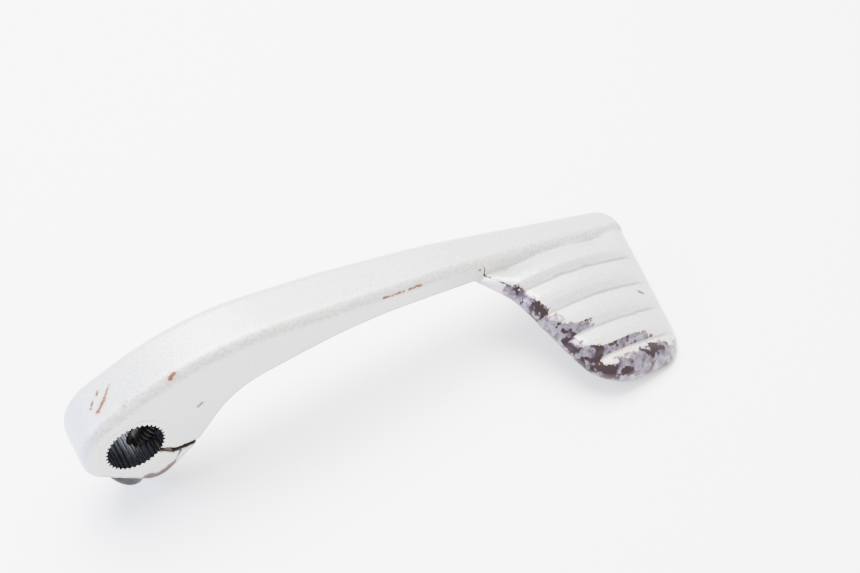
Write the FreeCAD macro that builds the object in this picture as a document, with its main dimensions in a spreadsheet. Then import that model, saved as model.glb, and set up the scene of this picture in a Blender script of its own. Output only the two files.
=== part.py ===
"""Gear shift lever: one forged arm with a split, splined clamp boss and a ribbed toe pad,
an M6 pinch bolt and its spring washer.  Millimetres and degrees.

Frame: the origin is the centre of the shaft bore on the outer face of the boss.
+X runs along the arm to the toe pad, +Y runs along the shaft into the engine, +Z is up."""
import FreeCAD, Part
import math
import os

import Sketcher

SIZES = {
    # shaft bore and clamp boss
    "bore_radius": 6.0,
    "spline_count": 36,
    "spline_depth": 0.4,
    "spline_width": 0.6,
    "boss_radius": 10.8,
    "lever_width": 14.0,
    # pinch bolt: its axis lies at bolt_offset from the bore axis, its head faces bolt_angle
    "bolt_angle": -134.0,
    "bolt_offset": 7.2,
    "flat_distance": 9.2,
    "seat_distance": 7.8,
    "seat_radius": 5.5,
    "clearance_radius": 3.3,
    "tapped_radius": 3.05,
    "tapped_depth": 9.8,
    "bolt_radius": 3.0,
    "bolt_length": 18.0,
    "bolt_head_radius": 5.0,
    "bolt_head_height": 4.0,
    "bolt_edge_break": 0.5,
    "socket_across_flats": 4.0,
    "socket_depth": 2.2,
    "washer_outer_radius": 4.95,
    "washer_inner_radius": 3.05,
    "washer_thickness": 1.6,
    "washer_gap": 1.0,
    # slit: out from the bore to the kink, then almost level to the underside
    "slit_width": 1.1,
    "slit_angle": -45.0,
    "slit_kink_radius": 10.0,
    "slit_exit_angle": -8.0,
    "slit_exit_length": 7.0,
    # side outline of the boss and the arched arm
    "shoulder_angle": 19.8,
    "shoulder_x": 17.6,
    "shoulder_bend": 62.0,
    "crown_angle": -9.7,
    "arm_knee_x": 78.0,
    "arm_knee_bend": 200.0,
    "arm_end_angle": -14.3,
    "arm_cut_x": 140.0,
    "arm_end_depth": 6.0,
    "belly_knee_x": 84.3,
    "belly_knee_z": -0.3,
    "belly_knee_bend": 60.0,
    "belly_crown_x": 53.4,
    "belly_crown_z": 4.7,
    "belly_crown_bend": 120.0,
    "root_x": 23.0,
    "root_z": 2.4,
    "root_bend": 18.0,
    "jaw_tip_x": 12.0,
    "jaw_tip_z": -8.8,
    "jaw_heel_offset": 11.8,
    "jaw_heel_bend": 5.0,
    "crease_radius": 2.8,
    "edge_radius": 1.0,
    # plan of the arm: full width to taper_start, then narrower to a rounded end
    "taper_start": 50.0,
    "arm_end_width": 8.8,
    "arm_end_corner": 5.5,
    # toe pad plan, measured from the front face of the arm towards -Y
    "pad_root_x": 89.5,
    "pad_root_bend": 5.0,
    "pad_left_lean": 15.5,
    "pad_right_x": 132.5,
    "pad_right_lean": 10.5,
    "pad_reach": 34.5,
    "pad_overlap": 2.0,
    "pad_left_corner": 13.0,
    "pad_right_corner": 9.5,
    # toe pad surface: ribs step down towards the tip, the whole surface is crowned along X
    "rib_count": 5,
    "rib_pitch": 6.8,
    "rib_fall": 3.03,
    "rib_first_y": -6.2,
    "rib_first_z": 0.8,
    "rib_riser_run": 2.1,
    "rib_riser_drop": 2.1,
    "rib_nose_radius": 1.8,
    "rib_valley_radius": 1.0,
    "pad_valley_z": -0.9,
    "rib_crown_x": 95.0,
    "rib_crown_radius": 70.0,
    "base_crown_x": 99.0,
    "base_crown_radius": 80.0,
    "base_below_valley": 0.8,
    "skin_above_nose": 0.3,
    "underside_z": -1.3,
    "underside_angle": -11.3,
    "underside_fall": 0.36,
    "slab_depth": 30.0,
    "pad_top_edge": 2.5,
    "pad_bottom_edge": 1.0,
}

doc = FreeCAD.newDocument("shift_lever")
sheet = doc.addObject("Spreadsheet::Sheet", "Sizes")
for row, (alias, value) in enumerate(SIZES.items(), start=1):
    sheet.set(f"A{row}", alias.replace("_", " "))
    sheet.set(f"B{row}", str(value))
    sheet.setAlias(f"B{row}", alias)
doc.recompute()


def value(expression):
    """The number that an expression over the sheet gives."""
    return float(sheet.evalExpression(expression))


def size(alias):
    return float(sheet.get(alias))


# ---------------------------------------------------------------- sketches

def sketch_on(body, plane, name, offset=None):
    """A sketch on one of the body's origin planes; offset holds AttachmentOffset expressions."""
    sketch = body.newObject("Sketcher::SketchObject", name)
    support = [item for item in body.Origin.OriginFeatures if item.Role == plane][0]
    sketch.AttachmentSupport = (support, [""])
    sketch.MapMode = "FlatFace"
    for path, expression in (offset or {}).items():
        sketch.setExpression("AttachmentOffset." + path, expression)
    return sketch


def pin(sketch, geometry, point, corner):
    """Hold one point of the sketch at a pair of expressions, measured from its origin."""
    for kind, expression in zip(("DistanceX", "DistanceY"), corner):
        number = value(expression)
        index = sketch.addConstraint(Sketcher.Constraint(kind, -1, 1, geometry, point, number))
        sketch.setExpression(f"Constraints[{index}]", expression)


def rounded_outline(sketch, corners):
    """A closed outline through corners (x, y, bend): a bend rounds its corner tangentially."""
    points = [FreeCAD.Vector(value(x), value(y), 0) for x, y, bend in corners]
    bends = [value(bend) if bend else 0.0 for x, y, bend in corners]
    count = len(corners)
    starts, ends, centres = [], [], []
    for i in range(count):
        before = (points[i - 1] - points[i]).normalize()
        after = (points[(i + 1) % count] - points[i]).normalize()
        half = before.getAngle(after) / 2
        reach = bends[i] / math.tan(half)
        starts.append(points[i] + before * reach)
        ends.append(points[i] + after * reach)
        middle = (before + after).normalize()
        centres.append(points[i] + middle * (bends[i] / math.sin(half)))
    lines = [sketch.addGeometry(Part.LineSegment(ends[i], starts[(i + 1) % count]), False)
             for i in range(count)]
    for i in range(count):
        line_in, line_out = lines[i - 1], lines[i]
        if not bends[i]:
            sketch.addConstraint(Sketcher.Constraint("Coincident", line_in, 2, line_out, 1))
            pin(sketch, line_out, 1, corners[i][:2])
            continue
        from_start, from_end = starts[i] - centres[i], ends[i] - centres[i]
        turns_left = from_start.cross(from_end).z > 0
        first, last = (1, 2) if turns_left else (2, 1)
        sweep = (from_start, from_end) if turns_left else (from_end, from_start)
        begin, finish = (math.atan2(spoke.y, spoke.x) for spoke in sweep)
        if finish < begin:
            finish += 2 * math.pi
        ring = Part.Circle(centres[i], FreeCAD.Vector(0, 0, 1), bends[i])
        arc = sketch.addGeometry(Part.ArcOfCircle(ring, begin, finish), False)
        sketch.addConstraint(Sketcher.Constraint("Tangent", line_in, 2, arc, first))
        sketch.addConstraint(Sketcher.Constraint("Tangent", line_out, 1, arc, last))
        radius = sketch.addConstraint(Sketcher.Constraint("Radius", arc, bends[i]))
        sketch.setExpression(f"Constraints[{radius}]", corners[i][2])
        corner = sketch.addGeometry(Part.Point(points[i]), True)
        sketch.addConstraint(Sketcher.Constraint("PointOnObject", corner, 1, line_in))
        sketch.addConstraint(Sketcher.Constraint("PointOnObject", corner, 1, line_out))
        pin(sketch, corner, 1, corners[i][:2])
    return sketch


def circle(sketch, radius):
    """A circle about the sketch's origin."""
    shape = Part.Circle(FreeCAD.Vector(0, 0, 0), FreeCAD.Vector(0, 0, 1), value(radius))
    ring = sketch.addGeometry(shape, False)
    sketch.addConstraint(Sketcher.Constraint("Coincident", ring, 3, -1, 1))
    index = sketch.addConstraint(Sketcher.Constraint("Radius", ring, value(radius)))
    sketch.setExpression(f"Constraints[{index}]", radius)
    return sketch


# ---------------------------------------------------------------- features

def new_body(name):
    body = doc.addObject("PartDesign::Body", name)
    body.Label = name
    return body


def pad(body, name, profile, length, towards_plus_y=False):
    feature = body.newObject("PartDesign::Pad", name)
    feature.Profile = profile
    feature.setExpression("Length", length)
    feature.Reversed = towards_plus_y
    doc.recompute()
    return feature


def cut_through(body, name, profile):
    """Pocket all the way both ways, checked to have removed something."""
    before = body.Tip.Shape.Volume
    feature = body.newObject("PartDesign::Pocket", name)
    feature.Profile = profile
    feature.Type = "ThroughAll"
    feature.Midplane = True
    doc.recompute()
    if not feature.Shape.Volume < before - 1e-6:
        raise RuntimeError(name + " removed nothing")
    return feature


def face_normal(face):
    u_min, u_max, v_min, v_max = face.ParameterRange
    return face.normalAt((u_min + u_max) / 2, (v_min + v_max) / 2)


def fillet(body, name, radius, first, second):
    """Round the edges where a face that first accepts meets a face that second accepts."""
    base = body.Tip
    names = []
    for i, edge in enumerate(base.Shape.Edges, start=1):
        faces = base.Shape.ancestorsOfType(edge, Part.Face)
        if len(faces) != 2:
            continue
        one, other = (face_normal(face) for face in faces)
        if (first(one) and second(other)) or (first(other) and second(one)):
            names.append(f"Edge{i}")
    feature = body.newObject("PartDesign::Fillet", name)
    feature.Base = (base, names)
    feature.setExpression("Radius", radius)
    doc.recompute()
    return feature


def faces_up(normal):
    return normal.z > 0.05


def faces_side(normal):
    return abs(normal.z) < 0.01 and abs(normal.y) > 0.15


def faces_toe(normal):
    return abs(normal.z) < 0.01 and normal.y < -0.1


def faces_down_or_back(normal):
    return normal.z < -0.05 or normal.x < -0.95


# ---------------------------------------------------------------- the arm and its clamp boss

BOLT_X = "cos(Sizes.bolt_angle * 1 deg)"
BOLT_Z = "sin(Sizes.bolt_angle * 1 deg)"


def on_bolt_grid(outward, sideways):
    """The (x, z) expressions of a point so far along the bolt direction and across it."""
    x = f"({outward}) * {BOLT_X} - ({sideways}) * {BOLT_Z}"
    z = f"({outward}) * {BOLT_Z} + ({sideways}) * {BOLT_X}"
    return x, z


def side_corners():
    """The corners of the boss and arm seen from the side, clockwise from the shoulder."""
    shoulder_z = ("(Sizes.boss_radius + Sizes.shoulder_x * sin(Sizes.shoulder_angle * 1 deg))"
                  " / cos(Sizes.shoulder_angle * 1 deg)")
    knee_z = (f"{shoulder_z} + (Sizes.arm_knee_x - Sizes.shoulder_x)"
              " * tan(Sizes.crown_angle * 1 deg)")
    cut_z = (f"{knee_z} + (Sizes.arm_cut_x - Sizes.arm_knee_x)"
             " * tan(Sizes.arm_end_angle * 1 deg)")
    left_z = ("(-Sizes.boss_radius * sin(Sizes.shoulder_angle * 1 deg) + Sizes.boss_radius)"
              " / cos(Sizes.shoulder_angle * 1 deg)")
    flat_top_z = f"(Sizes.flat_distance + Sizes.boss_radius * {BOLT_X}) / {BOLT_Z}"
    heel_x, heel_z = on_bolt_grid("Sizes.flat_distance", "Sizes.jaw_heel_offset")
    return [
        ("-Sizes.boss_radius", left_z, "Sizes.boss_radius"),
        ("Sizes.shoulder_x", shoulder_z, "Sizes.shoulder_bend"),
        ("Sizes.arm_knee_x", knee_z, "Sizes.arm_knee_bend"),
        ("Sizes.arm_cut_x", cut_z, None),
        ("Sizes.arm_cut_x", f"{cut_z} - Sizes.arm_end_depth", None),
        ("Sizes.belly_knee_x", "Sizes.belly_knee_z", "Sizes.belly_knee_bend"),
        ("Sizes.belly_crown_x", "Sizes.belly_crown_z", "Sizes.belly_crown_bend"),
        ("Sizes.root_x", "Sizes.root_z", "Sizes.root_bend"),
        ("Sizes.jaw_tip_x", "Sizes.jaw_tip_z", None),
        (heel_x, heel_z, "Sizes.jaw_heel_bend"),
        ("-Sizes.boss_radius", flat_top_z, None),
    ]


def arm_plan_corners():
    """The region beyond the tapering back and the rounded end of the arm, seen from above."""
    lean = "tan(Sizes.pad_right_lean * 1 deg)"
    return [
        ("Sizes.taper_start", "Sizes.lever_width", None),
        (f"Sizes.pad_right_x + Sizes.arm_end_width * {lean}", "Sizes.arm_end_width",
         "Sizes.arm_end_corner"),
        (f"Sizes.pad_right_x - Sizes.lever_width * {lean}", "-Sizes.lever_width", None),
        ("Sizes.arm_cut_x + Sizes.lever_width", "-Sizes.lever_width", None),
        ("Sizes.arm_cut_x + Sizes.lever_width", "2 * Sizes.lever_width", None),
        ("Sizes.taper_start", "2 * Sizes.lever_width", None),
    ]


def cut_bore(body):
    """The shaft bore and one spline groove, repeated all the way round."""
    bore = circle(sketch_on(body, "XZ_Plane", "bore_circle"), "Sizes.bore_radius")
    cut_through(body, "shaft_bore", bore)
    groove = [
        ("0.8 * Sizes.bore_radius", "-Sizes.spline_width / 2", None),
        ("Sizes.bore_radius", "-Sizes.spline_width / 2", None),
        ("Sizes.bore_radius + Sizes.spline_depth", "0", None),
        ("Sizes.bore_radius", "Sizes.spline_width / 2", None),
        ("0.8 * Sizes.bore_radius", "Sizes.spline_width / 2", None),
    ]
    section = rounded_outline(sketch_on(body, "XZ_Plane", "spline_section"), groove)
    spline = cut_through(body, "spline", section)
    pattern = body.newObject("PartDesign::PolarPattern", "splines")
    pattern.Originals = [spline]
    axis = [item for item in body.Origin.OriginFeatures if item.Role == "Y_Axis"][0]
    pattern.Axis = (axis, [""])
    pattern.Angle = 360
    pattern.setExpression("Occurrences", "Sizes.spline_count")
    body.Tip = pattern
    doc.recompute()


def cut_slit(body):
    """Two straight saw cuts: radial out of the bore, then nearly level to the underside."""
    half = "Sizes.slit_width / 2"
    radial = {"Rotation.Angle": "Sizes.slit_angle"}
    first = [
        ("0.8 * Sizes.bore_radius", f"-{half}", None),
        (f"Sizes.slit_kink_radius + {half}", f"-{half}", None),
        (f"Sizes.slit_kink_radius + {half}", half, None),
        ("0.8 * Sizes.bore_radius", half, None),
    ]
    sketch = sketch_on(body, "XZ_Plane", "slit_radial", radial)
    cut_through(body, "slit_to_kink", rounded_outline(sketch, first))
    level = {
        "Base.x": "Sizes.slit_kink_radius * cos(Sizes.slit_angle * 1 deg)",
        "Base.y": "Sizes.slit_kink_radius * sin(Sizes.slit_angle * 1 deg)",
        "Rotation.Angle": "Sizes.slit_exit_angle",
    }
    second = [
        (f"-{half}", f"-{half}", None),
        ("Sizes.slit_exit_length", f"-{half}", None),
        ("Sizes.slit_exit_length", half, None),
        (f"-{half}", half, None),
    ]
    sketch = sketch_on(body, "XZ_Plane", "slit_level", level)
    cut_through(body, "slit_to_underside", rounded_outline(sketch, second))


def cut_bolt_hole(body):
    """Spot face, clearance hole through the jaw and tapped blind hole in the root of the arm."""
    across_x, across_z = on_bolt_grid("0", "Sizes.bolt_offset")
    axis_frame = {
        "Base.x": across_x,
        "Base.y": across_z,
        "Base.z": "-Sizes.lever_width / 2",
        "Rotation.Angle": "Sizes.bolt_angle - 90",
    }
    outside = "3 * Sizes.seat_distance"
    steps = [
        ("0", outside, None),
        ("Sizes.seat_radius", outside, None),
        ("Sizes.seat_radius", "Sizes.seat_distance", None),
        ("Sizes.clearance_radius", "Sizes.seat_distance", None),
        ("Sizes.clearance_radius", "-Sizes.slit_width", None),
        ("Sizes.tapped_radius", "-Sizes.slit_width", None),
        ("Sizes.tapped_radius", "-Sizes.tapped_depth", None),
        ("0", "-Sizes.tapped_depth - Sizes.tapped_radius / 2", None),
    ]
    sketch = sketch_on(body, "XZ_Plane", "bolt_hole_section", axis_frame)
    before = body.Tip.Shape.Volume
    hole = body.newObject("PartDesign::Groove", "bolt_hole")
    hole.Profile = rounded_outline(sketch, steps)
    hole.ReferenceAxis = (sketch, ["V_Axis"])
    hole.Angle = 360
    doc.recompute()
    if not hole.Shape.Volume < before - 1e-6:
        raise RuntimeError("bolt_hole removed nothing")


def build_arm():
    body = new_body("arm_and_boss")
    outline = rounded_outline(sketch_on(body, "XZ_Plane", "side_outline"), side_corners())
    pad(body, "blank", outline, "Sizes.lever_width", towards_plus_y=True)
    plan = rounded_outline(sketch_on(body, "XY_Plane", "plan_cut"), arm_plan_corners())
    cut_through(body, "plan_trim", plan)

    fillet(body, "upper_edges", "Sizes.crease_radius", faces_up, faces_side)
    fillet(body, "lower_edges", "Sizes.edge_radius", faces_down_or_back, faces_side)
    cut_bore(body)
    cut_slit(body)
    cut_bolt_hole(body)
    return body


# ---------------------------------------------------------------- the toe pad

def swept_along_crown(body, name, corners, crown_x, crown_radius):
    """Slide an upright YZ section, unturned, along a shallow arch in the XZ plane."""
    run_in = "(Sizes.pad_root_x - 0.6 * Sizes.pad_root_bend)"
    run_out = "Sizes.arm_cut_x"

    def arch_z(x):
        return f"sqrt({crown_radius} ^ 2 - ({x} - {crown_x}) ^ 2) - {crown_radius}"

    offset = {"Base.z": run_in, "Base.y": arch_z(run_in)}
    section = rounded_outline(sketch_on(body, "YZ_Plane", name + "_section", offset), corners)
    spine = sketch_on(body, "XZ_Plane", name + "_spine")
    centre = FreeCAD.Vector(value(crown_x), -value(crown_radius), 0)
    ring = Part.Circle(centre, FreeCAD.Vector(0, 0, 1), value(crown_radius))
    reach = [math.acos((value(x) - value(crown_x)) / value(crown_radius)) for x in (run_out, run_in)]
    arc = spine.addGeometry(Part.ArcOfCircle(ring, *reach), False)
    pin(spine, arc, 3, (crown_x, f"-{crown_radius}"))
    pin(spine, arc, 2, (run_in, arch_z(run_in)))
    index = spine.addConstraint(Sketcher.Constraint("DistanceX", -1, 1, arc, 1, value(run_out)))
    spine.setExpression(f"Constraints[{index}]", run_out)
    pipe = body.newObject("PartDesign::AdditivePipe", name)
    pipe.Profile = section
    pipe.Spine = (spine, ["Edge1"])
    pipe.Mode = "Fixed"
    doc.recompute()
    return pipe


RIB_SLOPE = "Sizes.rib_fall / Sizes.rib_pitch"


def nose(k):
    return f"Sizes.rib_first_y - {k} * Sizes.rib_pitch", f"Sizes.rib_first_z - {k} * Sizes.rib_fall"


def valley(k):
    y, z = nose(k)
    return f"{y} - Sizes.rib_riser_run", f"{z} - Sizes.rib_riser_drop"


OVERLAP = "Sizes.pad_overlap"
PAST_TIP = "-1.2 * Sizes.pad_reach"
FLOOR = "-Sizes.slab_depth"


def build_ribs():
    """Ribbed top on a plainer base whose flatter crown fills the valleys towards the right."""
    body = new_body("toe_ribs")
    count = int(size("rib_count"))
    top = [
        (OVERLAP, "Sizes.pad_valley_z", None),
        ("-1", "Sizes.pad_valley_z", "Sizes.rib_valley_radius"),
    ]
    for k in range(count):
        top.append((*nose(k), "Sizes.rib_nose_radius"))
        if k < count - 1:
            top.append((*valley(k), "Sizes.rib_valley_radius"))
    last_y, last_z = nose(count - 1)
    top.append((PAST_TIP, f"{last_z} - ({last_y} - ({PAST_TIP})) * {RIB_SLOPE}", None))
    core = [(PAST_TIP, FLOOR, None), (OVERLAP, FLOOR, None)]
    swept_along_crown(body, "ribs", top + core, "Sizes.rib_crown_x", "Sizes.rib_crown_radius")

    first_y, first_z = valley(0)
    far_z = f"{first_z} - ({first_y} - ({PAST_TIP})) * {RIB_SLOPE} - Sizes.base_below_valley"
    base = [
        (OVERLAP, "Sizes.pad_valley_z - Sizes.base_below_valley", None),
        (first_y, f"{first_z} - Sizes.base_below_valley", None),
        (PAST_TIP, far_z, None),
        *core,
    ]
    swept_along_crown(body, "base", base, "Sizes.base_crown_x", "Sizes.base_crown_radius")
    return body


def cut_underside(body):
    """A flat underside, sloping like the belly of the arm and falling towards the tip."""
    slope = "tan(Sizes.underside_angle * 1 deg)"
    start_z = "Sizes.underside_z + Sizes.underside_fall * Sizes.pad_overlap"

    def belly(x):
        return f"{start_z} + ({x} - Sizes.belly_knee_x) * {slope}"

    left, right = "Sizes.taper_start", "2 * Sizes.arm_cut_x"
    below = [
        (left, belly(left), None),
        (right, belly(right), None),
        (right, "-4 * Sizes.slab_depth", None),
        (left, "-4 * Sizes.slab_depth", None),
    ]
    sketch = sketch_on(body, "XZ_Plane", "belly_line", {"Base.z": "-Sizes.pad_overlap"})
    before = body.Tip.Shape.Volume
    cut = body.newObject("PartDesign::Pocket", "underside")
    cut.Profile = rounded_outline(sketch, below)
    cut.UseCustomVector = True
    cut.Direction = FreeCAD.Vector(0, -1, -size("underside_fall"))
    cut.setExpression("Length", "3 * Sizes.pad_reach")
    doc.recompute()
    if not cut.Shape.Volume < before - 1e-6:
        raise RuntimeError("underside removed nothing")


def build_envelope():
    """The rounded outer form of the toe pad: its plan, cut from a smooth drooping slab."""
    body = new_body("toe_envelope")
    first_y, first_z = nose(0)

    def skin(y):
        return f"{first_z} + Sizes.skin_above_nose + (({y}) - ({first_y})) * {RIB_SLOPE}"

    slab = [
        (OVERLAP, skin(OVERLAP), None),
        (PAST_TIP, skin(PAST_TIP), None),
        (PAST_TIP, f"{skin(PAST_TIP)} + {FLOOR}", None),
        (OVERLAP, f"{skin(OVERLAP)} + {FLOOR}", None),
    ]
    swept_along_crown(body, "slab", slab, "Sizes.rib_crown_x", "Sizes.rib_crown_radius")
    left = "tan(Sizes.pad_left_lean * 1 deg)"
    right = "tan(Sizes.pad_right_lean * 1 deg)"
    plan = [
        ("Sizes.taper_start", "0", None),
        ("Sizes.pad_root_x", "0", "Sizes.pad_root_bend"),
        (f"Sizes.pad_root_x + Sizes.pad_reach * {left}", "-Sizes.pad_reach",
         "Sizes.pad_left_corner"),
        (f"Sizes.pad_right_x - Sizes.pad_reach * {right}", "-Sizes.pad_reach",
         "Sizes.pad_right_corner"),
        (f"Sizes.pad_right_x + Sizes.lever_width * {right}", "Sizes.lever_width", None),
        ("2 * Sizes.arm_cut_x", "Sizes.lever_width", None),
        ("2 * Sizes.arm_cut_x", "-2 * Sizes.pad_reach", None),
        ("Sizes.taper_start", "-2 * Sizes.pad_reach", None),
    ]
    cut_through(body, "plan", rounded_outline(sketch_on(body, "XY_Plane", "pad_plan"), plan))
    cut_underside(body)
    fillet(body, "upper_rim", "Sizes.pad_top_edge", faces_up, faces_toe)
    fillet(body, "lower_rim", "Sizes.pad_bottom_edge", faces_down_or_back, faces_toe)
    return body


# ---------------------------------------------------------------- the pinch bolt and its washer

def place_on_bolt_axis(part, outward):
    """Put the part's own origin on the bolt axis, its +Z pointing out through the bolt's head."""
    x, z = on_bolt_grid(outward, "Sizes.bolt_offset")
    part.Placement = FreeCAD.Placement(FreeCAD.Vector(0, 0, 0),
                                       FreeCAD.Rotation(FreeCAD.Vector(0, 1, 0), 1))
    part.setExpression("Placement.Base.x", x)
    part.setExpression("Placement.Base.y", "Sizes.lever_width / 2")
    part.setExpression("Placement.Base.z", z)
    part.setExpression("Placement.Rotation.Angle", "90 - Sizes.bolt_angle")
    doc.recompute()


def build_bolt():
    """Cap screw: its origin is the centre of the bearing face under the head."""
    body = new_body("pinch_bolt")
    edge = "Sizes.bolt_edge_break"
    profile = [
        ("0", "Sizes.bolt_head_height", None),
        (f"Sizes.bolt_head_radius - {edge}", "Sizes.bolt_head_height", None),
        ("Sizes.bolt_head_radius", f"Sizes.bolt_head_height - {edge}", None),
        ("Sizes.bolt_head_radius", "0", None),
        ("Sizes.bolt_radius", "0", None),
        ("Sizes.bolt_radius", f"-Sizes.bolt_length + {edge}", None),
        (f"Sizes.bolt_radius - {edge}", "-Sizes.bolt_length", None),
        ("0", "-Sizes.bolt_length", None),
    ]
    turned = body.newObject("PartDesign::Revolution", "turned")
    section = rounded_outline(sketch_on(body, "XZ_Plane", "bolt_section"), profile)
    turned.Profile = section
    turned.ReferenceAxis = (section, ["V_Axis"])
    turned.Angle = 360
    doc.recompute()

    hexagon = []
    for k in range(6):
        corner = f"Sizes.socket_across_flats / 2 / cos(30 deg) * {{}}({60 * k} deg)"
        hexagon.append((corner.format("cos"), corner.format("sin"), None))
    sketch = sketch_on(body, "XY_Plane", "socket", {"Base.z": "Sizes.bolt_head_height"})
    socket = body.newObject("PartDesign::Pocket", "hex_socket")
    socket.Profile = rounded_outline(sketch, hexagon)
    socket.setExpression("Length", "Sizes.socket_depth")
    doc.recompute()
    if not socket.Shape.Volume < turned.Shape.Volume:
        raise RuntimeError("hex_socket removed nothing")
    place_on_bolt_axis(body, "Sizes.seat_distance + Sizes.washer_thickness")
    return body


def build_washer():
    """Split spring washer, shown squeezed flat: its origin is the centre of its seat face."""
    body = new_body("lock_washer")
    plane = sketch_on(body, "XY_Plane", "washer_ring")
    circle(plane, "Sizes.washer_outer_radius")
    circle(plane, "Sizes.washer_inner_radius")
    pad(body, "ring", plane, "Sizes.washer_thickness")
    half = "Sizes.washer_gap / 2"
    gap = [
        ("0", f"-{half}", None),
        ("2 * Sizes.washer_outer_radius", f"-{half}", None),
        ("2 * Sizes.washer_outer_radius", half, None),
        ("0", half, None),
    ]
    cut_through(body, "gap", rounded_outline(sketch_on(body, "XY_Plane", "gap_outline"), gap))
    place_on_bolt_axis(body, "Sizes.seat_distance")
    return body


# ---------------------------------------------------------------- the whole lever

def build_lever():
    """The forging is one piece: the arm with its boss, joined to the toe pad."""
    toe_pad = doc.addObject("Part::Common", "toe_pad")
    toe_pad.Base = build_ribs()
    toe_pad.Tool = build_envelope()
    lever = doc.addObject("Part::Fuse", "shift_lever")
    lever.Base = build_arm()
    lever.Tool = toe_pad
    lever.Label = "shift_lever"
    doc.recompute()
    return lever


subparts = [build_lever(), build_washer(), build_bolt()]
doc.recompute()
for item in doc.Objects:
    if "Invalid" in item.State or "Error" in item.State:
        raise RuntimeError(item.Label + " failed: " + str(item.State))
os.makedirs("parts", exist_ok=True)
for part in subparts:
    shape = part.Shape
    if shape.isNull() or not shape.isValid() or len(shape.Solids) != 1:
        raise RuntimeError(part.Label + " is not one valid solid")
    shape.exportStep(f"parts/{part.Label}.step")
    print(part.Label, round(shape.Volume, 1), "mm3")
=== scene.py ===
"""Looks of a worn, silver-painted gear shift lever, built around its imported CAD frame.

Lengths are in metres, in the CAD frame: the origin is the centre of the shaft bore on the outer
face of the boss, +X runs along the arm to the toe pad, +Y into the engine, +Z up."""

import math

import bmesh
import bpy
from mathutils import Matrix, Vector
from mathutils.kdtree import KDTree


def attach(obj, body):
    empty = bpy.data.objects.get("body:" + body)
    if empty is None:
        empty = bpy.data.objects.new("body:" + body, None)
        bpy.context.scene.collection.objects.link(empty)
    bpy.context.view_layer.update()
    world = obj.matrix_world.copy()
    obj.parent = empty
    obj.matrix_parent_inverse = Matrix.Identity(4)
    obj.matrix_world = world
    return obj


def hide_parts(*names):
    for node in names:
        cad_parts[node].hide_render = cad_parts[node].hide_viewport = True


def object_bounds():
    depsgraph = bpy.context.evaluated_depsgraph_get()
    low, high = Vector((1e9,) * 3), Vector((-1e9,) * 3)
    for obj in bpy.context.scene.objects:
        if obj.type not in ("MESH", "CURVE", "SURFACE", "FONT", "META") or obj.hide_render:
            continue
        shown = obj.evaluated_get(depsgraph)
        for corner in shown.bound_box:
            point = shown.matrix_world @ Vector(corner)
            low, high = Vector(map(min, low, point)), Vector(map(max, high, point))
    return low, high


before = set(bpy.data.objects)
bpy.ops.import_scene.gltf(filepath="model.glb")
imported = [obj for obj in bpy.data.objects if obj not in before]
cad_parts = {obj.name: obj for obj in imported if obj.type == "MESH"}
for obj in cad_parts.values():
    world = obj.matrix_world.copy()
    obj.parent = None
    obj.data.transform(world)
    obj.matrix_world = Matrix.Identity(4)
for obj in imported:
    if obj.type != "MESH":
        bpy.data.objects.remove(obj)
cad_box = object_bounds()

# Sizes are in millimetres from here on, and MM turns them into metres.
MM = 0.001
LEVER_WIDTH = 14.0

# the pinch bolt's axis: its direction towards the head, and its point nearest the bore's axis
BOLT_OUT = Vector((-0.69466, 0.0, -0.71934))
BOLT_OFFSET = 7.2
BOLT_MIDDLE = Vector((0.71934 * BOLT_OFFSET, LEVER_WIDTH / 2, -0.69466 * BOLT_OFFSET))


# ---------------------------------------------------------------- material graphs

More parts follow.
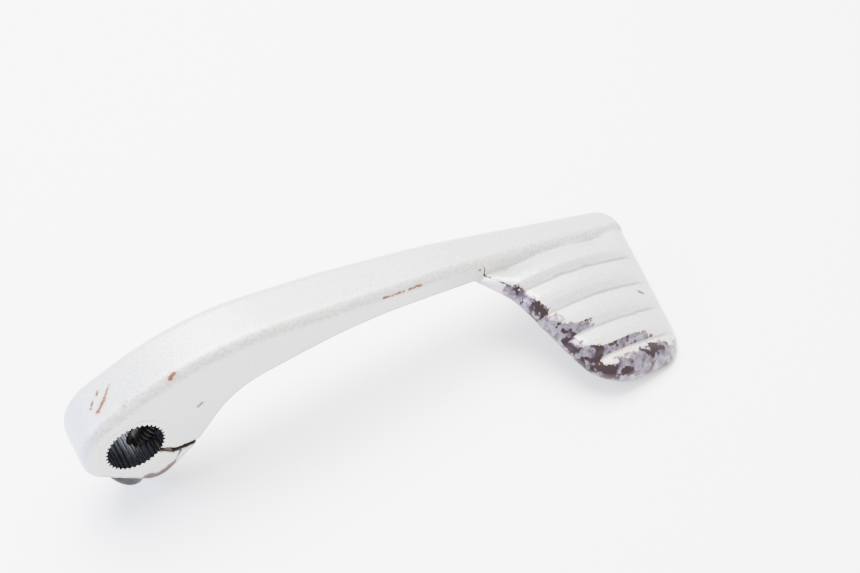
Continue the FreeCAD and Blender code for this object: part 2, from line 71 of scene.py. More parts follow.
class Graph:
    """A material's node tree in millimetres: a method adds a node and gives its output socket."""

    def __init__(self, name):
        self.material = bpy.data.materials.new(name)
        self.material.use_nodes = True
        self.tree = self.material.node_tree
        self.shader = self.tree.nodes["Principled BSDF"]
        metres = self.add("ShaderNodeTexCoord", {}, "Object")
        self.place = self.vector("SCALE", metres, Scale=1 / MM)
        self.normal = self.add("ShaderNodeTexCoord", {}, "Normal")

    def add(self, kind, inputs, output=0, **settings):
        node = self.tree.nodes.new(kind)
        for key, setting in settings.items():
            setattr(node, key, setting)
        for key, value in inputs.items():
            self.feed(node.inputs[key], value)
        return node.outputs[output]

    def feed(self, socket, value):
        if isinstance(value, bpy.types.NodeSocket):
            self.tree.links.new(value, socket)
        else:
            socket.default_value = value

    def math(self, operation, first, second=0.0, clamp=False):
        inputs = {0: first, 1: second}
        return self.add("ShaderNodeMath", inputs, operation=operation, use_clamp=clamp)

    def vector(self, operation, first, second=(0, 0, 0), output="Vector", **sockets):
        inputs = {0: first, 1: second, **sockets}
        return self.add("ShaderNodeVectorMath", inputs, output, operation=operation)

    def dot(self, first, second):
        return self.vector("DOT_PRODUCT", first, second, "Value")

    def step(self, value, low, high):
        """0 at low, 1 at high, smooth between them; low may be the larger."""
        inputs = {"Value": value, "From Min": low, "From Max": high}
        return self.add("ShaderNodeMapRange", inputs, interpolation_type="SMOOTHSTEP")

    def both(self, *shares):
        """The product of several shares."""
        result = shares[0]
        for share in shares[1:]:
            result = self.math("MULTIPLY", result, share)
        return result

    def either(self, *shares):
        """The largest of several shares."""
        result = shares[0]
        for share in shares[1:]:
            result = self.math("MAXIMUM", result, share)
        return result

    def noise(self, per_mm, detail=2.0, roughness=0.5, shift=0.0):
        """Noise from 0 to 1 with so many features per millimetre."""
        moved = self.vector("ADD", self.place, (shift, shift, shift)) if shift else self.place
        inputs = {"Vector": moved, "Scale": per_mm, "Detail": detail, "Roughness": roughness}
        return self.add("ShaderNodeTexNoise", inputs, "Fac")

    def stroke(self, start, end, ragged=0.0, per_mm=1.0, axes=(1, 1, 1)):
        """Distance from a straight stroke, measured along axes only and made ragged by noise."""
        run = Vector((there - here) * axis for here, there, axis in zip(start, end, axes))
        away = self.vector("MULTIPLY", self.vector("SUBTRACT", self.place, start), axes)
        share = self.math("DIVIDE", self.dot(away, run), run.length_squared, clamp=True)
        along = self.vector("SCALE", tuple(run), Scale=share)
        distance = self.vector("LENGTH", self.vector("SUBTRACT", away, along), output="Value")
        if ragged:
            wave = self.math("SUBTRACT", self.noise(per_mm, 3.0), 0.5)
            distance = self.math("ADD", distance, self.math("MULTIPLY", wave, 2 * ragged))
        return distance

    def mix(self, factor, below, above):
        """A colour between two colours."""
        inputs = {"Factor": factor, 6: below, 7: above}
        return self.add("ShaderNodeMix", inputs, 2, data_type="RGBA")

    def blend(self, factor, below, above):
        """A number between two numbers."""
        return self.add("ShaderNodeMix", {"Factor": factor, 2: below, 3: above}, 0)

    def bump(self, height, depth, normal=None):
        """Relief from a height of 0 to 1 that stands so many millimetres proud."""
        inputs = {"Height": height, "Distance": depth * MM, "Strength": 1.0}
        if normal:
            inputs["Normal"] = normal
        return self.add("ShaderNodeBump", inputs, "Normal")

    def finish(self, **sockets):
        """Feed the shader's sockets, named with _ for a space, and give the material."""
        for name, value in sockets.items():
            self.feed(self.shader.inputs[name.replace("_", " ")], value)
        return self.material


def colour(red, green, blue):
    return (red, green, blue, 1.0)


# ---------------------------------------------------------------- the toe pad's form

# plan: out is the distance from the arm's front face towards the tip, against +Y
ROOT_X = 89.5
RIGHT_X = 132.5
LEFT_LEAN = math.tan(math.radians(15.5))
RIGHT_LEAN = math.tan(math.radians(10.5))
REACH = 34.5
ROOTED = -2.0
LEFT_CORNER = 13.0
RIGHT_CORNER = 9.5
ROOT_FLARE = 4.6
FLARE_END = 9.0

# ribs: each has a rounded nose, a steep riser below it and a gentle tread up to the next nose
RIB_PITCH = 6.8
RIB_FALL = 3.03
FIRST_NOSE = 6.2
FIRST_NOSE_Z = 0.8
ROOT_DIP = 1.7
RISER_RUN = 1.9
RISER_DROP = 2.1
TREAD_BULGE = 0.45
RIB_TRACE = 0.12
CROWN_X = 95.0
CROWN_RADIUS = 70.0

# underside
BELLY_X = 84.3
BELLY_Z = -1.3
BELLY_SLOPE = math.tan(math.radians(11.3))
UNDERSIDE_FALL = 0.36
TUCK = 0.7
RIM_SHARE = 0.42
UNDER_ROLL = 1.8


def smooth(value, low, high):
    """0 at low, 1 at high, smooth between them."""
    share = min(max((value - low) / (high - low), 0.0), 1.0)
    return share * share * (3 - 2 * share)


def arch(x, centre, radius):
    """How far an arc lies below its top."""
    return math.sqrt(radius ** 2 - (x - centre) ** 2) - radius


def rib_height(out):
    """The ribbed profile, with out measured from the arm towards the tip, before the crown."""
    count = math.floor((out - FIRST_NOSE) / RIB_PITCH) + 1
    past = out - FIRST_NOSE - (count - 1) * RIB_PITCH
    nose_z = FIRST_NOSE_Z - RIB_FALL * (count - 1)
    if count <= 0:
        return FIRST_NOSE_Z - ROOT_DIP + ROOT_DIP * smooth(out, -0.5, 0.8 * FIRST_NOSE)
    if past < RISER_RUN:
        return nose_z - RISER_DROP * smooth(past, 0, RISER_RUN)
    share = (past - RISER_RUN) / (RIB_PITCH - RISER_RUN)
    rise = RISER_DROP - RIB_FALL
    bulge = TREAD_BULGE * math.sin(math.pi * share ** 1.3)
    return nose_z - RISER_DROP + rise * share + bulge


def pad_top(x, out):
    """Height of the toe pad's upper surface: ribs on the left, fading towards the right edge."""
    right = RIGHT_X - RIGHT_LEAN * out
    ribs = rib_height(out)
    plain = FIRST_NOSE_Z - 0.5 - RIB_FALL / RIB_PITCH * (out - FIRST_NOSE)
    fade = smooth(right - x, 1.0, 13.0)
    crown = arch(x, CROWN_X, CROWN_RADIUS)
    rooted = ROOT_DIP * (1 - smooth(out, 0.0, 6.0)) * (1 - smooth(x - ROOT_X, -2.0, 6.0))
    return crown + plain + (ribs - plain) * (RIB_TRACE + (1 - RIB_TRACE) * fade) + rooted


def pad_bottom(x, out):
    """Height of the underside, which rises to meet the arm's belly at its root."""
    tuck = TUCK * (1 - smooth(out, 0.0, 7.0))
    return tuck + BELLY_Z - UNDERSIDE_FALL * out - (x - BELLY_X) * BELLY_SLOPE


def rounded_corner(before, corner, after, radius, steps=24):
    """Points of the arc that rounds a corner."""
    one, other = (before - corner).normalized(), (after - corner).normalized()
    half = one.angle(other) / 2
    centre = corner + (one + other).normalized() * (radius / math.sin(half))
    start = corner + one * (radius / math.tan(half)) - centre
    finish = corner + other * (radius / math.tan(half)) - centre
    spokes = [start.lerp(finish, k / steps) for k in range(steps + 1)]
    return [centre + spoke.normalized() * radius for spoke in spokes]


def pad_outline():
    """The pad's plan as points (x, out): its left side down to the tip, then its right side."""
    corners = [Vector((ROOT_X + LEFT_LEAN * ROOTED, ROOTED)),
               Vector((ROOT_X + LEFT_LEAN * REACH, REACH)),
               Vector((RIGHT_X - RIGHT_LEAN * REACH, REACH)),
               Vector((RIGHT_X - RIGHT_LEAN * ROOTED, ROOTED))]
    left = []
    for k in range(25):
        out = ROOTED + 0.5 * k
        flare = ROOT_FLARE * (1 - smooth(out, ROOTED, FLARE_END))
        left.append(Vector((ROOT_X + LEFT_LEAN * out - flare, out)))
    left += rounded_corner(*corners[:3], LEFT_CORNER)
    right = rounded_corner(*corners[1:], RIGHT_CORNER) + [corners[3]]
    return left, right


def side_at(branch, out):
    """Where one side of the plan is at a distance out from the arm."""
    for here, there in zip(branch, branch[1:]):
        low, high = sorted((here, there), key=lambda point: point.y)
        if low.y <= out <= high.y:
            return low.lerp(high, (out - low.y) / max(high.y - low.y, 1e-9)).x
    return min(branch, key=lambda point: abs(point.y - out)).x


def rim_roll(x, out):
    """Radius of the rolled edge: small by the right edge, larger to the left and at the tip."""
    left = 1 - smooth(x - ROOT_X - LEFT_LEAN * out, 2.0, 26.0)
    tip = smooth(out, 0.35 * REACH, REACH)
    return 1.6 + 1.6 * left + 3.0 * tip * (0.35 + 0.65 * left)


def closed_mesh(name, built):
    """A mesh from a bmesh, its normals turned outward."""
    bmesh.ops.recalc_face_normals(built, faces=built.faces)
    mesh = bpy.data.meshes.new(name)
    built.to_mesh(mesh)
    built.free()
    return mesh


def toe_pad_mesh(rows=150, columns=120):
    """A closed mesh of the pad: an upper and a lower grid that meet round its rolled edge."""
    left, right = pad_outline()
    tree = KDTree(4000)
    stops = left + right
    for here, there in zip(stops, stops[1:]):
        parts = max(1, round((there - here).length / 0.1))
        for k in range(parts):
            tree.insert(here.lerp(there, k / parts).to_3d(), 0)
    tree.balance()
    built = bmesh.new()
    grids = {"top": [], "bottom": []}
    for row in range(rows + 1):
        out = ROOTED + (REACH - ROOTED) * math.sin(math.pi / 2 * row / rows)
        from_x, to_x = side_at(left, out), side_at(right, out)
        lines = {"top": [], "bottom": []}
        for column in range(columns + 1):
            x = from_x + (to_x - from_x) * 0.5 * (1 - math.cos(math.pi * column / columns))
            inset = tree.find((x, out, 0))[2] if 0 < column < columns and row < rows else 0.0
            low, high = pad_bottom(x, out), pad_top(x, out)
            middle = low + RIM_SHARE * (high - low)
            roll = min(inset / rim_roll(x, out), 1.0)
            under = min(inset / UNDER_ROLL, 1.0)
            heights = {"top": middle + (high - middle) * math.sqrt(1 - (1 - roll) ** 2),
                       "bottom": middle - (middle - low) * math.sqrt(1 - (1 - under) ** 2)}
            for side, height in heights.items():
                lines[side].append(built.verts.new((x * MM, -out * MM, height * MM)))
        for side in grids:
            grids[side].append(lines[side])
    for side, grid in grids.items():
        for near, far in zip(grid, grid[1:]):
            for k in range(columns):
                built.faces.new((near[k], near[k + 1], far[k + 1], far[k]))
    top, bottom = grids["top"][0], grids["bottom"][0]
    for k in range(columns):
        built.faces.new((top[k], top[k + 1], bottom[k + 1], bottom[k]))
    bmesh.ops.remove_doubles(built, verts=built.verts, dist=0.001 * MM)
    bmesh.ops.dissolve_degenerate(built, dist=0.001 * MM, edges=built.edges)
    return closed_mesh("toe_pad", built)


# ---------------------------------------------------------------- the lever

VOXEL = 0.30
# the casting's bore is opened to this radius, and a separate splined wall fills it
BORE_OPENED = 6.9
BORE_INNER = 6.5
FRONT_CUT = 0.02


def arm_mesh():
    """The frame's lever, its bore opened and its toe pad cut off along the arm's front face."""
    built = bmesh.new()
    built.from_mesh(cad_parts["shift_lever"].data)
    bmesh.ops.remove_doubles(built, verts=built.verts, dist=0.0005 * MM)
    for vert in built.verts:
        reach = math.hypot(vert.co.x, vert.co.z)
        if reach < BORE_INNER * MM:
            vert.co.x *= BORE_OPENED * MM / reach
            vert.co.z *= BORE_OPENED * MM / reach
    everything = built.verts[:] + built.edges[:] + built.faces[:]
    cut = bmesh.ops.bisect_plane(built, geom=everything, plane_co=(0, FRONT_CUT * MM, 0),
                                 plane_no=(0, -1, 0), clear_outer=True)
    rim = [item for item in cut["geom_cut"] if isinstance(item, bmesh.types.BMEdge)]
    bmesh.ops.triangle_fill(built, use_beauty=True, use_dissolve=False, edges=rim)
    return closed_mesh("arm", built)


def link(name, data):
    """A new object in the scene."""
    thing = bpy.data.objects.new(name, data)
    bpy.context.scene.collection.objects.link(thing)
    return thing


def evaluated(thing):
    """The mesh of an object with its modifiers worked in."""
    graph = bpy.context.evaluated_depsgraph_get()
    return bpy.data.meshes.new_from_object(thing.evaluated_get(graph))


def shade_smooth(thing):
    for face in thing.data.polygons:
        face.use_smooth = True
    return thing


def cast_lever():
    """The lever as one casting: arm and pad merged, with soft edges and filled corners."""
    joined = bmesh.new()
    for mesh in (arm_mesh(), toe_pad_mesh()):
        joined.from_mesh(mesh)
    mesh = bpy.data.meshes.new("lever_rough")
    joined.to_mesh(mesh)
    joined.free()
    rough = link("lever_rough", mesh)
    remesh = rough.modifiers.new("cast", "REMESH")
    remesh.mode = "VOXEL"
    remesh.voxel_size = VOXEL * MM
    soften = rough.modifiers.new("soften", "SMOOTH")
    soften.factor = 0.5
    soften.iterations = 4
    cast = link("lever_casting", evaluated(rough))
    bpy.data.objects.remove(rough)
    return shade_smooth(cast)


# ---------------------------------------------------------------- splines, bolt and washer

SPLINE_TIP = 6.0
SPLINE_ROOT = 6.4
SPLINE_COUNT = 36
SLIT_ANGLE = math.radians(-45)
SLIT_HALF = 0.60
HOLE_RADIUS = 3.3
SLEEVE_OUTER = BORE_OPENED + 0.45
SLEEVE_INSET = 0.012


def ring_solid(name, rings):
    """A closed mesh through rings of points, its ends filled."""
    built = bmesh.new()
    loops = [[built.verts.new(Vector(point) * MM) for point in ring] for ring in rings]
    for near, far in zip(loops, loops[1:]):
        count = len(near)
        for k in range(count):
            built.faces.new((near[k], near[(k + 1) % count], far[(k + 1) % count], far[k]))
    built.faces.new(loops[0])
    built.faces.new(loops[-1])
    return closed_mesh(name, built)


def spline_sleeve():
    """The splined wall of the bore: a C of teeth, open at the slit and pierced by the bolt hole."""
    gap = math.asin(SLIT_HALF / SPLINE_TIP)
    steps = SPLINE_COUNT * 10
    inner, outer = [], []
    for k in range(steps + 1):
        angle = SLIT_ANGLE + gap + (2 * math.pi - 2 * gap) * k / steps
        tooth = smooth(0.5 + 0.5 * math.cos(SPLINE_COUNT * angle), 0.25, 0.75)
        radius = SPLINE_ROOT + (SPLINE_TIP - SPLINE_ROOT) * tooth
        inner.append((radius * math.cos(angle), radius * math.sin(angle)))
        outer.append((SLEEVE_OUTER * math.cos(angle), SLEEVE_OUTER * math.sin(angle)))
    outline = inner + outer[::-1]
    depths = (SLEEVE_INSET, LEVER_WIDTH - SLEEVE_INSET)
    rings = [[(x, depth, z) for x, z in outline] for depth in depths]
    sleeve = link("bore_splines", ring_solid("bore_splines", rings))
    hole = [ring_at(station, [HOLE_RADIUS] * 64) for station in (-12, 12)]
    cutter = link("cutter", ring_solid("cutter", hole))
    cut = sleeve.modifiers.new("hole", "BOOLEAN")
    cut.operation = "DIFFERENCE"
    cut.object = cutter
    cut.solver = "EXACT"
    result = link("spline_wall", evaluated(sleeve))
    for scrap in (sleeve, cutter):
        bpy.data.objects.remove(scrap)
    return result


def ring_at(station, radii):
    """A ring round the bolt's axis, station millimetres outward from the bore's axis."""
    across, up = Vector((0, 1, 0)), BOLT_OUT.cross(Vector((0, 1, 0)))
    points = []
    for k, radius in enumerate(radii):
        angle = 2 * math.pi * k / len(radii)
        spoke = across * math.cos(angle) + up * math.sin(angle)
        points.append(BOLT_MIDDLE + BOLT_OUT * station + spoke * radius)
    return points


# the bolt, its stations measured outward from the bore's axis
HEAD_SEAT = 9.4
HEAD_TOP = 13.4
HEAD_RADIUS = 5.0
HEAD_ROUND = 1.3
KNURLS = 32
KNURL_DEPTH = 0.10
SOCKET_APOTHEM = 2.0
SOCKET_DEPTH = 2.2
SHANK_END = -8.6
SHANK_RADIUS = 2.97
THREAD_START = 3.6
THREAD_DEPTH = 0.58
THREAD_ROW = 0.085
END_CHAMFER = 0.75
PITCH = 1.0


def detailed_bolt(around=96):
    """Socket-head bolt: hexagon socket, domed head with a knurled side, plain neck and M6 thread."""
    turns = [2 * math.pi * k / around for k in range(around)]
    hexagon = [1 / math.cos((turn + math.pi / 6) % (math.pi / 3) - math.pi / 6) for turn in turns]
    knurl = [KNURL_DEPTH * (0.5 - 0.5 * math.cos(KNURLS * turn)) for turn in turns]
    floor = HEAD_TOP - SOCKET_DEPTH
    rings = [ring_at(floor - 0.5, [0.3] * around)]
    for station, scale in ((floor, 1.0), (HEAD_TOP - 0.35, 1.0), (HEAD_TOP - 0.05, 1.08)):
        rings.append(ring_at(station, [SOCKET_APOTHEM * scale * side for side in hexagon]))
    for k in range(9):
        turn = math.pi / 2 * k / 8
        radius = HEAD_RADIUS - HEAD_ROUND + HEAD_ROUND * math.sin(turn)
        station = HEAD_TOP - HEAD_ROUND + HEAD_ROUND * math.cos(turn)
        rings.append(ring_at(station, [radius] * around))
    knurled = ((HEAD_TOP - 1.7, 1.0), (HEAD_SEAT + 0.5, 1.0), (HEAD_SEAT + 0.3, 0.0))
    for station, share in knurled:
        rings.append(ring_at(station, [HEAD_RADIUS - share * cut for cut in knurl]))
    neck = ((HEAD_SEAT, HEAD_RADIUS - 0.35), (HEAD_SEAT, SHANK_RADIUS + 0.33),
            (HEAD_SEAT - 0.3, SHANK_RADIUS))
    for station, radius in neck:
        rings.append(ring_at(station, [radius] * around))
    rows = round((THREAD_START - SHANK_END) / THREAD_ROW)
    for row in range(rows + 1):
        station = THREAD_START + (SHANK_END - THREAD_START) * row / rows
        start = smooth(THREAD_START - station, 0.0, 1.0)
        taper = END_CHAMFER * (1 - smooth(station - SHANK_END, 0.0, 0.9))
        radii = []
        for turn in turns:
            phase = (station / PITCH + turn / (2 * math.pi)) % 1.0
            crest = smooth(abs(2 * phase - 1), 0.12, 0.88)
            radii.append(SHANK_RADIUS - max(THREAD_DEPTH * start * (1 - crest), taper))
        rings.append(ring_at(station, radii))
    rings.append(ring_at(SHANK_END, [1.2] * around))
    bolt = link("detailed_bolt", ring_solid("detailed_bolt", rings))
    return shade_smooth(bolt)


# ---------------------------------------------------------------- materials

SILVER_DARK = colour(0.30, 0.305, 0.31)
SILVER_LIGHT = colour(0.58, 0.58, 0.585)
SILVER_WARM = colour(0.50, 0.47, 0.42)
# painted shade: the darker, warmer tint of the arm's front face
SILVER_FRONT_SHADE = colour(0.42, 0.405, 0.37)
# painted cool shade: the darker lavender tint of the boss's outer end
SILVER_COOL_SHADE = colour(0.29, 0.30, 0.44)
FLECK = colour(0.16, 0.15, 0.13)
PINHOLE = colour(0.05, 0.035, 0.03)
# painted shade: the colour of the band along the rounded edge between top and front
EDGE_SHADE = colour(0.20, 0.19, 0.16)
# the colour of the darker line along the foot of each rib riser
VALLEY_DARK = colour(0.07, 0.066, 0.055)
SCUFF = colour(0.045, 0.035, 0.038)
DIRT = colour(0.028, 0.022, 0.022)
CHIP = colour(0.035, 0.020, 0.015)
CREAM = colour(0.50, 0.30, 0.09)
RUST_HALO = colour(0.28, 0.12, 0.035)
RUST = colour(0.080, 0.024, 0.003)
RUST_DARK = colour(0.022, 0.007, 0.003)
BARE_BROWN = colour(0.020, 0.012, 0.014)
BARE_DULL = colour(0.048, 0.036, 0.050)
BARE_LILAC = colour(0.160, 0.135, 0.175)
SLIT_RUST = colour(0.07, 0.05, 0.035)
BORE_DARK = colour(0.012, 0.013, 0.017)
BORE_LIGHT = colour(0.07, 0.065, 0.065)

# rust streaks and specks on the boss and arm: start, end and half width
RUST_STREAKS = [
    ((-3.9, 4.5, 10.0), (-1.6, 6.4, 10.9), 0.48),
    ((-1.6, 6.4, 10.9), (0.4, 8.6, 11.6), 0.22),
    ((-2.7, 8.3, 10.5), (-2.2, 8.9, 10.7), 0.26),
    ((-4.8, 6.4, 9.7), (-4.0, 7.6, 10.2), 0.30),
    ((0.9, 2.0, 11.4), (1.6, 2.4, 11.7), 0.30),
    ((10.8, 1.1, 14.2), (11.8, 1.5, 14.5), 0.60),
    ((60.0, 0.3, 8.9), (65.5, 0.2, 8.1), 0.24),
    ((67.0, 0.3, 7.8), (70.0, 0.3, 7.4), 0.34),
    ((86.0, 0.2, 3.2), (86.6, 0.2, 3.1), 0.30),
]
# scuffs where grey dirt has settled
SCUFFS = [
    ((-7.9, 4.4, 6.8), (-7.6, 5.2, 7.2), 0.30),
    ((14.5, 0.0, 3.3), (15.4, 0.0, 3.8), 0.42),
    ((123.2, -5.0, -5.9), (124.0, -5.2, -6.2), 0.38),
    ((123.2, -17.3, -10.4), (124.2, -18.0, -10.9), 0.50),
    ((117.0, -22.0, -10.4), (119.3, -22.9, -11.2), 0.42),
    ((122.2, -22.4, -11.9), (122.6, -22.8, -12.2), 0.55),
]
# the slit's middle line in the side view, as runs from (x, z) to (x, z)
SLIT_RUNS = [((3.9, -3.9), (7.07, -7.07)), ((7.07, -7.07), (14.0, -8.05))]


def silver_coat(graph, speckle, x, out):
    """The paint itself: speckle, clouds, flecks, pinholes, painted shade on the front face, the
    boss's end and the rounded top-front edge, darker lines at the ribs' feet and chipped belly edge.
    """
    coat = graph.mix(graph.step(speckle, 0.34, 0.64), SILVER_DARK, SILVER_LIGHT)
    cloud = graph.step(graph.noise(0.10, 3.0), 0.35, 0.75)
    coat = graph.mix(graph.both(cloud, 0.4), coat, SILVER_WARM)
    flecks = graph.step(graph.noise(2.2, 5.0, 0.75, 31.0), 0.56, 0.68)
    coat = graph.mix(graph.both(flecks, 0.65), coat, FLECK)
    pinholes = graph.step(graph.noise(1.7, 2.0, 0.5, 77.0), 0.74, 0.78)
    coat = graph.mix(graph.both(pinholes, 0.75), coat, PINHOLE)

    forward = graph.dot(graph.normal, (0, -1, 0))
    upward = graph.dot(graph.normal, (0, 0, 1))
    downward = graph.dot(graph.normal, (0, 0, -1))
    # painted shade: the arm's front face gets a darker, warmer tint than the top, as if turned away
    # from the light
    front = graph.both(graph.step(forward, 0.35, 0.7), graph.step(out, 1.5, 0.3), 0.4)
    coat = graph.mix(front, coat, SILVER_FRONT_SHADE)
    # painted cool shade: faces turned to the boss's outer end (-X) get a darker lavender tint, as if
    # lit only by cool light
    end = graph.step(graph.dot(graph.normal, (-1, 0, 0)), 0.15, 0.8)
    coat = graph.mix(graph.both(end, 0.6), coat, SILVER_COOL_SHADE)
    # painted shade: a noise-broken darker band along the rounded edge between the arm's top and its
    # front face
    edge_shade = graph.both(graph.step(forward, 0.12, 0.45), graph.step(upward, 0.10, 0.50),
                        graph.step(out, 0.8, 0.0),
                        graph.step(graph.noise(1.3, 5.0, 0.75, 61.0), 0.40, 0.62), 0.55)
    coat = graph.mix(edge_shade, coat, EDGE_SHADE)
    chipped = graph.both(graph.step(downward, 0.05, 0.30),
                         graph.step(graph.math("ABSOLUTE", out), 1.6, 0.6),
                         graph.step(graph.noise(0.40, 5.0, 0.7, 12.0), 0.40, 0.52), 0.9)
    coat = graph.mix(chipped, coat, CHIP)
    # a darker line along the foot of each riser on the pad's tread
    return graph.mix(graph.both(rib_valleys(graph, out, x), 0.65), coat, VALLEY_DARK)


def rib_valleys(graph, out, x):
    """1 along the foot of each riser on the pad's tread."""
    phase = graph.math("DIVIDE", graph.math("SUBTRACT", out, FIRST_NOSE + RISER_RUN), RIB_PITCH)
    wave = graph.math("MULTIPLY", graph.math("SUBTRACT", graph.noise(0.25, 2.0), 0.5), 0.10)
    turned = graph.math("FRACT", graph.math("ADD", graph.math("ADD", phase, wave), 0.5))
    near = graph.math("ABSOLUTE", graph.math("SUBTRACT", turned, 0.5))
    top = graph.step(graph.dot(graph.normal, (0, 0, 1)), 0.1, 0.4)
    span = graph.both(graph.step(out, 4.5, 6.5), graph.step(out, REACH - 1.0, REACH - 4.0))
    lean = graph.math("MULTIPLY", out, RIGHT_LEAN)
    past_right = graph.math("ADD", graph.math("SUBTRACT", x, RIGHT_X), lean)
    fade = graph.step(past_right, -1.5, -6.0)
    return graph.both(graph.step(near, 0.085, 0.015), top, span, fade)


def add_stains(graph, coat):
    """Scuffs, rust streaks and the rusted edge of the clamp's jaw."""
    for start, end, width in SCUFFS:
        scuff = graph.step(graph.stroke(start, end, 0.25, 2.0), width + 0.15, width - 0.15)
        coat = graph.mix(graph.both(scuff, 0.95), coat, SCUFF)
    for start, end, width in RUST_STREAKS:
        away = graph.stroke(start, end, 0.5, 1.6)
        halo = graph.both(graph.step(away, 2.6 * width, width), 0.40)
        coat = graph.mix(halo, coat, RUST_HALO)
        coat = graph.mix(graph.step(away, 1.1 * width, 0.6 * width), coat, RUST)

    jaw_heel = graph.stroke((0.0, 0.0, -11.2), (2.4, 0.0, -12.6), 0.5, 1.2)
    jaw_edge = graph.stroke((2.4, 0.0, -12.6), (6.0, 0.0, -11.5), 0.6, 1.0)
    jaw_rim = graph.math("MINIMUM", jaw_heel, jaw_edge)
    coat = graph.mix(graph.step(jaw_rim, 1.25, 0.85), coat, RUST)
    coat = graph.mix(graph.step(jaw_rim, 0.7, 0.35), coat, RUST_DARK)
    jaw_line = graph.stroke((6.2, 0.0, -11.9), (11.8, 0.0, -8.4), 0.3, 1.0)
    facet = graph.stroke((8.4, 0.0, -8.0), (5.6, 0.0, -11.6), 0.3, 0.8)
    line = graph.either(graph.step(facet, 0.30, 0.18), graph.step(jaw_line, 0.34, 0.2))
    return graph.mix(line, coat, DIRT)


def rim_wear(graph, x, out):
    """How far shoes have rubbed the pad's left edge, its tip and its low risers."""
    from_left = graph.math("SUBTRACT", x, ROOT_X)
    from_left = graph.math("SUBTRACT", from_left, graph.math("MULTIPLY", out, LEFT_LEAN))
    from_tip = graph.math("SUBTRACT", REACH, out)
    nearer = graph.math("MINIMUM", from_left, from_tip)
    reach = graph.blend(graph.step(out, 6.0, 0.9 * REACH), 3.6, 8.2)
    rim = graph.math("SUBTRACT", 1.0, graph.math("DIVIDE", nearer, reach))
    steep = graph.step(graph.dot(graph.normal, (0, -1, 0)), 0.40, 0.62)
    low = graph.step(out, 13.0, 20.0)
    left = graph.step(from_left, 26.0, 15.0)
    riser = graph.both(steep, low, left)
    shape = graph.math("ADD", rim, graph.math("MULTIPLY", riser, 0.75))
    wave = graph.math("SUBTRACT", graph.noise(0.33, 6.0, 0.68), 0.5)
    field = graph.math("ADD", shape, graph.math("MULTIPLY", wave, 2.2))
    return graph.math("MULTIPLY", field, graph.step(out, 2.5, 8.5))


def worn_through(graph, field, out):
    """1 where the paint is gone: the rubbed areas, specks beside them and a crack at the root."""
    chips = graph.step(graph.noise(1.1, 5.0, 0.72, 53.0), 0.665, 0.69)
    specks = graph.both(chips, graph.step(out, 3.0, 12.0), graph.step(field, -1.6, 0.2))
    crack = graph.stroke((87.6, 0.2, 0), (91.2, -5.6, 0), 0.5, 0.9, (1, 1, 0))
    return graph.either(graph.step(field, 0.44, 0.50), specks, graph.step(crack, 0.26, 0.14))


def bore_mask(graph):
    """1 on the wall of the bore."""
    depth = graph.dot(graph.place, (0, 1, 0))
    flat = graph.vector("MULTIPLY", graph.place, (1, 0, 1))
    radius = graph.vector("LENGTH", flat, output="Value")
    inside = graph.both(graph.step(depth, 0.05, 0.25),
                        graph.step(depth, LEVER_WIDTH - 0.05, LEVER_WIDTH - 0.25))
    return graph.both(graph.step(radius, 6.75, 6.55), inside)


def slit_mask(graph):
    """1 on the two walls of the clamp's slit."""
    slits = []
    for start, end in SLIT_RUNS:
        run = Vector(end) - Vector(start)
        forth = run.normalized()
        side = Vector((-forth.y, forth.x))
        across = graph.dot(graph.place, (side.x, 0, side.y))
        offset = graph.math("ABSOLUTE", graph.math("SUBTRACT", across, side.dot(Vector(start))))
        along = graph.dot(graph.place, (forth.x, 0, forth.y))
        begins = forth.dot(Vector(start))
        ends = begins + run.length
        slits.append(graph.both(graph.step(offset, 0.72, 0.60),
                                graph.step(along, begins - 0.5, begins - 0.2),
                                graph.step(along, ends + 0.6, ends)))
    return graph.either(*slits)


def lever_paint():
    """Silver metallic paint over steel, with rubbed edges, chips, rust and a bare dark bore."""
    graph = Graph("lever_paint")
    x, out = graph.dot(graph.place, (1, 0, 0)), graph.dot(graph.place, (0, -1, 0))
    speckle = graph.noise(3.4, 4.0, 0.65)
    coat = add_stains(graph, silver_coat(graph, speckle, x, out))
    field = rim_wear(graph, x, out)
    fringe = graph.both(graph.step(field, 0.30, 0.44), graph.noise(1.6, 3.0, 0.6, 7.0))
    coat = graph.mix(fringe, coat, CREAM)

    worn = worn_through(graph, field, out)
    patches = graph.noise(0.24, 6.0, 0.62, 17.0)
    dull = graph.step(graph.noise(0.5, 4.0, 0.6, 5.0), 0.35, 0.62)
    bare = graph.mix(dull, BARE_DULL, BARE_LILAC)
    bare = graph.mix(graph.step(patches, 0.475, 0.455), bare, BARE_BROWN)
    base = graph.mix(worn, coat, bare)
    slit, bore = slit_mask(graph), bore_mask(graph)
    rusty = graph.mix(graph.noise(1.2, 3.0, 0.6, 11.0), DIRT, SLIT_RUST)
    base = graph.mix(slit, base, rusty)
    steel = graph.mix(graph.noise(1.5, 4.0, 0.6, 3.0), BORE_DARK, BORE_LIGHT)
    base = graph.mix(bore, base, steel)

    metal = graph.either(graph.both(worn, 0.75), bore, graph.both(slit, 0.4), 0.30)
    rough = graph.blend(speckle, 0.34, 0.46)
    rough = graph.blend(worn, rough, graph.blend(patches, 0.20, 0.34))
    rough = graph.blend(bore, rough, 0.28)
    relief = graph.bump(speckle, 0.010)
    relief = graph.bump(graph.noise(0.45, 3.0), 0.05, relief)
    relief = graph.bump(graph.math("SUBTRACT", 1.0, worn), 0.06, relief)
    return graph.finish(Base_Color=base, Metallic=metal, Roughness=rough, Normal=relief)


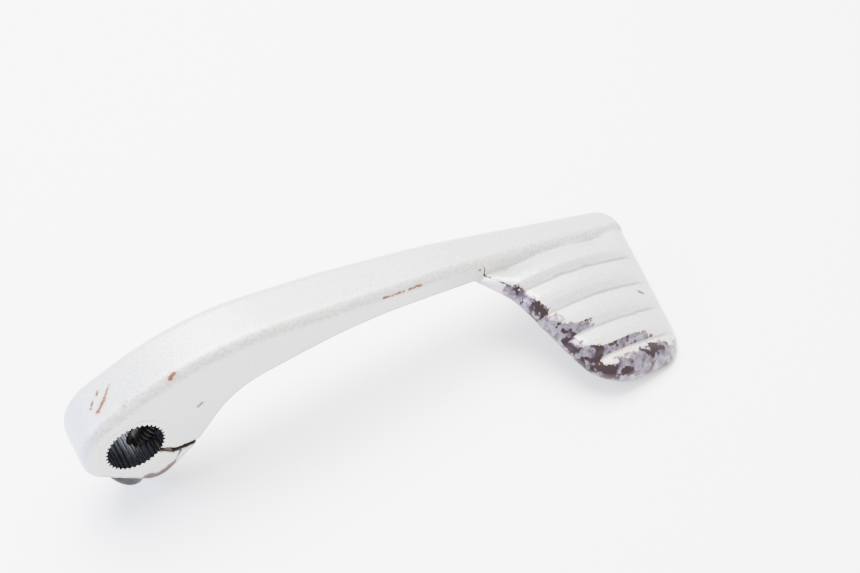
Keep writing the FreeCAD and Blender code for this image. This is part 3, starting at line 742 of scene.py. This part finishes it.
def dark_steel(name, darkest, lightest):
    """Dark smooth steel with a brown cast and a little rust."""
    graph = Graph(name)
    cloud = graph.noise(0.8, 4.0, 0.6)
    tone = graph.mix(cloud, darkest, lightest)
    rust = graph.step(graph.noise(1.3, 4.0, 0.65, 5.0), 0.60, 0.72)
    tone = graph.mix(graph.both(rust, 0.5), tone, RUST_DARK)
    relief = graph.bump(graph.noise(6.0, 3.0), 0.015)
    return graph.finish(Base_Color=tone, Metallic=0.7, Roughness=graph.blend(cloud, 0.32, 0.5),
                        Normal=relief)


# ---------------------------------------------------------------- camera, floor and light

FLOOR_HALF = 3.0
DAYLIGHT = 3.0
MIDDLE = (0.06, -0.01, 0.0)


def add_camera():
    """The camera, at the distance and angle that the lever is seen from."""
    data = bpy.data.cameras.new("camera")
    data.lens = 41.86
    data.sensor_width = 36
    camera = link("camera", data)
    camera.location = (-0.0130, -0.1298, 0.1730)
    camera.rotation_euler = (math.radians(90 - 47.1), 0, math.radians(-33.3))
    bpy.context.scene.camera = camera


def add_light(name, place, size, watts, tint=(1, 1, 1)):
    """A round soft light that faces the middle of the lever."""
    data = bpy.data.lights.new(name, "AREA")
    data.shape = "DISK"
    data.size = size
    data.energy = watts
    data.color = tint
    light = link(name, data)
    light.location = place
    light.rotation_euler = (Vector(place) - Vector(MIDDLE)).to_track_quat("Z", "Y").to_euler()


def add_stage():
    """A pale floor under the lever, even daylight, a softbox and a cooler window light."""
    half, low = FLOOR_HALF, cad_box[0][2]
    corners = [(-half, -half, low), (half, -half, low), (half, half, low), (-half, half, low)]
    mesh = bpy.data.meshes.new("floor")
    mesh.from_pydata(corners, [], [(0, 1, 2, 3)])
    floor = link("floor", mesh)
    paper = Graph("floor_paper").finish(Base_Color=colour(0.90, 0.89, 0.90), Roughness=0.9)
    floor.data.materials.append(paper)
    world = bpy.data.worlds.new("studio")
    world.use_nodes = True
    background = world.node_tree.nodes["Background"]
    background.inputs["Color"].default_value = colour(1, 1, 1)
    background.inputs["Strength"].default_value = DAYLIGHT
    bpy.context.scene.world = world
    add_light("softbox", (0.12, 0.22, 0.60), 0.6, 30)
    add_light("window", (-0.45, 0.15, 0.25), 0.4, 9, (0.60, 0.70, 1.0))


# ---------------------------------------------------------------- the scene

def dress(piece, *materials):
    piece.data.materials.clear()
    for material in materials:
        piece.data.materials.append(material)


add_camera()
add_stage()

lever = cast_lever()
silver = lever_paint()
dress(lever, silver)
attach(lever, "lever")
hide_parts("shift_lever")

# the splined wall is bare steel, and its two end faces carry the lever's paint
splines = spline_sleeve()
bore_steel = dark_steel("bore_steel", colour(0.009, 0.011, 0.016), colour(0.055, 0.058, 0.068))
dress(splines, bore_steel, silver)
for face in splines.data.polygons:
    face.material_index = 1 if abs(face.normal.y) > 0.9 else 0
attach(splines, "lever")

bolt = detailed_bolt()
dress(bolt, dark_steel("bolt_steel", colour(0.006, 0.006, 0.008), colour(0.032, 0.026, 0.025)))
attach(bolt, "bolt")
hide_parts("pinch_bolt")

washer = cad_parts["lock_washer"]
dress(washer, dark_steel("spring_steel", colour(0.05, 0.048, 0.05), colour(0.13, 0.11, 0.10)))
